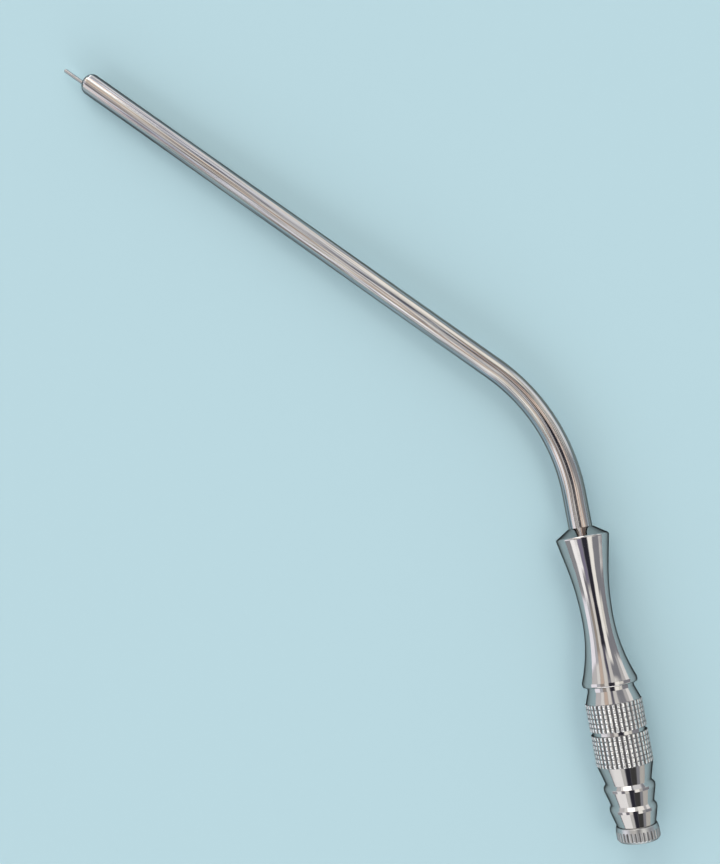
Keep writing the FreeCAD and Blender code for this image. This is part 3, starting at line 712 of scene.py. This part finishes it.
def drawn_tube():
    """Polished drawn tube: fine lines along its length over a bright, slightly wavy skin, and
    painted reflections: reddish-brown and dark streaks along it.
    """
    material, nodes = new_nodes("drawn_tube")
    place = place_input(nodes)
    lines = nodes.streaks(place, TUBE_LINES, 2.0)
    waves = nodes.streaks(place, TUBE_WAVES, 1.0)
    height = nodes.math("MULTIPLY_ADD", lines, TUBE_LINE_HEIGHT,
                        nodes.math("MULTIPLY", waves, TUBE_WAVE_HEIGHT))
    hues = nodes.ramp(nodes.streaks(place, TUBE_HUES, 3.0), *TUBE_HUE_FADE, 0.0, 1.0)
    color = tint(nodes, hues, TUBE_COOL, TUBE_WARM)
    # Painted reflections: reddish-brown, then dark streaks along the tube.
    warm_reflections = nodes.ramp(nodes.streaks(place, TUBE_WARM_REFLECTION_LINES, 1.0), *TUBE_WARM_REFLECTION_FADE, 0.0, 1.0)
    color = over(nodes, color, warm_reflections, TUBE_PAINTED_WARM_REFLECTION)
    dark_reflections = nodes.ramp(nodes.streaks(place, TUBE_DARK_REFLECTION_LINES, 2.0), *TUBE_DARK_REFLECTION_FADE, 0.0, 1.0)
    color = over(nodes, color, dark_reflections, TUBE_PAINTED_DARK_REFLECTION)
    smear = nodes.streaks(place, TUBE_SMEAR, 4.0)
    finish(nodes, color, roughness_from(nodes, smear, TUBE_ROUGHNESS), height)
    return material


def turned_chrome():
    """Mirror chrome over a turned surface: faint traces of the tool go round it. The knurled
    bands carry painted light: painted shade in the cuts and a painted highlight on the crests."""
    material, nodes = new_nodes("turned_chrome")
    place = place_input(nodes)
    knurled = nodes.math("ADD", is_between(nodes, place, COLLAR_BACK, GRIP_BACK),
                         is_between(nodes, place, KNURL_FRONT, KNURL_BACK))
    lines = nodes.streaks(place, TOOL_LINES, 2.0)
    waves = nodes.streaks(place, CHROME_WAVES, 2.0)
    height = nodes.math("MULTIPLY_ADD", lines, TOOL_LINE_HEIGHT,
                        nodes.math("MULTIPLY", waves, CHROME_WAVE_HEIGHT))
    grain = nodes.math("SUBTRACT", nodes.noise(place, KNURL_GRAIN, 2.0), 0.5)
    height = nodes.math("MULTIPLY_ADD", nodes.math("MULTIPLY", grain, knurled),
                        KNURL_GRAIN_HEIGHT, height)
    smear = nodes.streaks(place, CHROME_SMEAR, 4.0)
    color = tint(nodes, smear, CHROME_DULL, CHROME_BRIGHT)
    # Painted shade over the knurled bands, then a painted highlight on their crests.
    color = over(nodes, color, knurled, KNURL_PAINTED_SHADE)
    crest = depth_fade(nodes, place, KNURL_RADIUS, RING_DEPTH, KNURL_HIGHLIGHT_FADE)
    color = over(nodes, color, nodes.math("MULTIPLY", crest, knurled), KNURL_PAINTED_HIGHLIGHT)
    roughness = nodes.math("MULTIPLY_ADD", knurled, KNURL_EXTRA_ROUGHNESS,
                           roughness_from(nodes, smear, CHROME_ROUGHNESS))
    finish(nodes, color, roughness, height)
    return material


def wire_steel():
    """Bright drawn wire."""
    material, nodes = new_nodes("wire_steel")
    lines = nodes.streaks(place_input(nodes), WIRE_LINES, 2.0)
    color = tint(nodes, lines, WIRE_DULL, WIRE_BRIGHT)
    finish(nodes, color, roughness_from(nodes, lines, WIRE_ROUGHNESS),
           nodes.math("MULTIPLY", lines, WIRE_LINE_HEIGHT))
    return material


def satin_steel():
    """Satin steel with a fine blasted grain, and painted shade at the foot of the serrations."""
    material, nodes = new_nodes("satin_steel")
    place = place_input(nodes)
    grain = nodes.noise(place, SATIN_GRAIN, 4.0, 0.6)
    smear = nodes.noise(place, SATIN_SMEAR, 3.0)
    color = tint(nodes, smear, SATIN_DULL, SATIN_BRIGHT)
    # Painted shade at the foot of the serrations.
    foot = depth_fade(nodes, place, KNOB_RADIUS, SERRATION_DEPTH, SERRATION_SHADE_FADE,
                      SERRATION_SHADE_COVER)
    serrated = is_between(nodes, place, OUTLET + KNOB_COLLAR, KNOB_BACK - KNOB_CHAMFER)
    color = over(nodes, color, nodes.math("MULTIPLY", foot, serrated), SERRATION_PAINTED_SHADE)
    finish(nodes, color, roughness_from(nodes, smear, SATIN_ROUGHNESS),
           nodes.math("MULTIPLY", grain, SATIN_GRAIN_HEIGHT))
    return material


def dress():
    """Makes each piece, its material and what it stands for."""
    tube, chrome, wire, satin = drawn_tube(), turned_chrome(), wire_steel(), satin_steel()
    rows = (
        (make_tube, "suction_tube", tube, "drawn_tube"),
        (make_grip, "grip", chrome, "turned_chrome"),
        (make_connector, "hose_connector", chrome, "turned_chrome"),
        (make_wire, "stylet_wire", wire, "wire_steel"),
        (make_knob, "stylet_knob", satin, "satin_steel"),
    )
    for maker, node, material, slot in rows:
        piece = maker()
        piece.data.materials.append(material)
        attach(piece, "root")
        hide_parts(node)


dress()


# The studio: a pale floor under the part, its size in metres, and a dim room whose walls and
# ceiling carry soft boxes. A direction is given by its angle from straight up, to the right or
# left, and by its lean ahead (the way the grip points) or back, both in degrees.
FLOOR_SIZE = 40.0
FLOOR_COLOR = (0.546, 0.771, 0.844)
ROOM_COLOR = (0.36, 0.37, 0.41)
BOX_SOFTNESS = 6

# Name, from and to across, from and to ahead, brightness, colour. A later one covers an
# earlier one. The dark slot overhead is where the camera and its stand keep the light out.
BOXES = (
    ("high_far", -75, 8, 44, 86, 3.0, (1.0, 0.99, 0.97)),
    ("high_near", -60, 85, -88, -60, 3.8, (1.0, 1.0, 1.0)),
    ("far_left", -90, -62, 20, 60, 0.85, (1.0, 0.99, 1.0)),
    ("far_left_bright", -62, -45, 20, 60, 1.15, (1.0, 1.0, 0.98)),
    ("left_wall", -100, -60, -12, 20, 1.45, (0.98, 0.97, 1.05)),
    ("left_gap", -60, -45, -11, 20, 0.75, (0.95, 0.98, 1.05)),
    ("left_near", -64, -30, -36, -11, 1.6, (1.0, 1.0, 1.0)),
    ("left_dim", -100, -64, -36, -12, 0.45, (0.95, 0.98, 1.05)),
    ("left_low", -87, -31, -60, -36, 1.35, (1.0, 1.0, 1.0)),
    ("left_corner", -100, -87, -60, -30, 0.15, (0.9, 0.93, 1.1)),
    ("near_middle", -31, -13, -60, -32, 0.85, (1.0, 1.0, 0.98)),
    ("near_shade", -44, -28, -21, -9, 0.3, (0.98, 0.95, 1.1)),
    ("left_strip", -28, -11, -16, 38, 1.1, (1.0, 0.98, 0.93)),
    ("near_violet", -28, -13, -32, -18, 0.35, (1.0, 0.93, 1.3)),
    ("rusty_strip", -45, -28, -9, 16, 0.5, (1.05, 0.93, 0.82)),
    ("rusty_strip_far", -45, -28, 16, 40, 0.85, (1.05, 0.86, 0.72)),
    ("right_strip", 15, 36, -32, 22, 1.5, (1.0, 0.99, 0.93)),
    ("right_strip_wide", 36, 52, -12, 4, 1.15, (1.0, 0.99, 0.92)),
    ("right_far", 70, 98, 14, 44, 1.25, (1.0, 1.0, 0.98)),
    ("right_far_soft", 55, 70, 16, 40, 0.75, (1.0, 1.0, 1.0)),
    ("right_near", 70, 98, -31, -18, 1.15, (1.0, 0.99, 0.96)),
    ("right_low", 60, 98, -60, -33, 0.75, (1.0, 0.99, 0.93)),
    ("right_near_dark", 13, 43, -60, -33, 0.08, (1.0, 1.0, 1.0)),
    ("far_right", 18, 58, 33, 50, 1.45, (1.0, 0.99, 0.94)),
    ("far_right_high", 20, 120, 52, 80, 1.1, (0.97, 0.98, 1.0)),
    ("dark_slot", -10, 13, -60, 14, 0.05, (0.85, 0.85, 1.2)),
    ("far_middle", 2, 19, 17, 50, 1.0, (1.0, 0.99, 0.96)),
    ("dark_slot_far", -7, 2, 14, 33, 0.13, (0.9, 0.85, 1.3)),
)


def make_floor():
    """Large plain floor at the height that the part rests on."""
    mesh = bpy.data.meshes.new("floor")
    half = FLOOR_SIZE / 2
    mesh.from_pydata([(-half, -half, 0), (half, -half, 0), (half, half, 0), (-half, half, 0)],
                     [], [(0, 1, 2, 3)])
    floor = bpy.data.objects.new("floor", mesh)
    bpy.context.scene.collection.objects.link(floor)
    material, nodes = new_nodes("floor_card")
    sockets = {"Base Color": (*FLOOR_COLOR, 1.0), "Roughness": 1.0, "Specular IOR Level": 0.0}
    shader = nodes.add("ShaderNodeBsdfPrincipled", sockets)
    nodes.add("ShaderNodeOutputMaterial", {"Surface": shader.outputs[0]})
    mesh.materials.append(material)


def between(nodes, value, low, high):
    """One inside a range of degrees, zero outside it, with soft ends."""
    ends = []
    for place, way in ((low, 1), (high, -1)):
        node = nodes.add("ShaderNodeMapRange", {
            "Value": value, "From Min": place - way * BOX_SOFTNESS / 2,
            "From Max": place + way * BOX_SOFTNESS / 2, "To Min": 0.0, "To Max": 1.0,
        }, interpolation_type="SMOOTHSTEP")
        ends.append(node.outputs[0])
    return nodes.math("MULTIPLY", ends[0], ends[1])


def make_room():
    """World with the room's colour and the soft boxes, each painted over those before it."""
    world = bpy.data.worlds.new("room")
    bpy.context.scene.world = world
    world.use_nodes = True
    nodes = Nodes(world.node_tree)
    way = nodes.add("ShaderNodeTexCoord").outputs["Generated"]
    parts = nodes.add("ShaderNodeSeparateXYZ", {"Vector": way})
    across = nodes.math("DEGREES", nodes.math("ARCTAN2", parts.outputs["X"], parts.outputs["Z"]))
    ahead = nodes.math("DEGREES", nodes.math("ARCSINE", parts.outputs["Y"]))
    color = (*ROOM_COLOR, 1.0)
    for _, left, right, near, far, level, shade in BOXES:
        mask = nodes.math("MULTIPLY", between(nodes, across, left, right),
                          between(nodes, ahead, near, far))
        color = over(nodes, color, mask, [level * part for part in shade])
    background = nodes.add("ShaderNodeBackground", {"Color": color, "Strength": 1.0})
    nodes.add("ShaderNodeOutputWorld", {"Surface": background.outputs[0]})


# The camera, at the photograph's place and angle over the part. The focal length is given in
# pixels of the picture, whose longer side, its height, spans the sensor.
CAMERA_PLACE = Vector((22.559, -21.548, 202.848)) * MM
CAMERA_TURN = (4.7163, 6.7034, -9.6865)
FOCAL_PIXELS = 1150
PICTURE_HEIGHT = 864
SENSOR = 36.0
CLIP_START = 5.0


def make_camera():
    """Camera of the scene, sharp at every distance."""
    lens = bpy.data.cameras.new("camera")
    lens.sensor_width = SENSOR
    lens.lens = SENSOR * FOCAL_PIXELS / PICTURE_HEIGHT
    lens.clip_start = CLIP_START * MM
    camera = bpy.data.objects.new("camera", lens)
    camera.location = CAMERA_PLACE
    camera.rotation_euler = Euler([math.radians(angle) for angle in CAMERA_TURN], "XYZ")
    bpy.context.scene.collection.objects.link(camera)
    bpy.context.scene.camera = camera


make_floor()
make_room()
make_camera()
bpy.context.scene.view_settings.view_transform = "Standard"

bpy.context.view_layer.update()
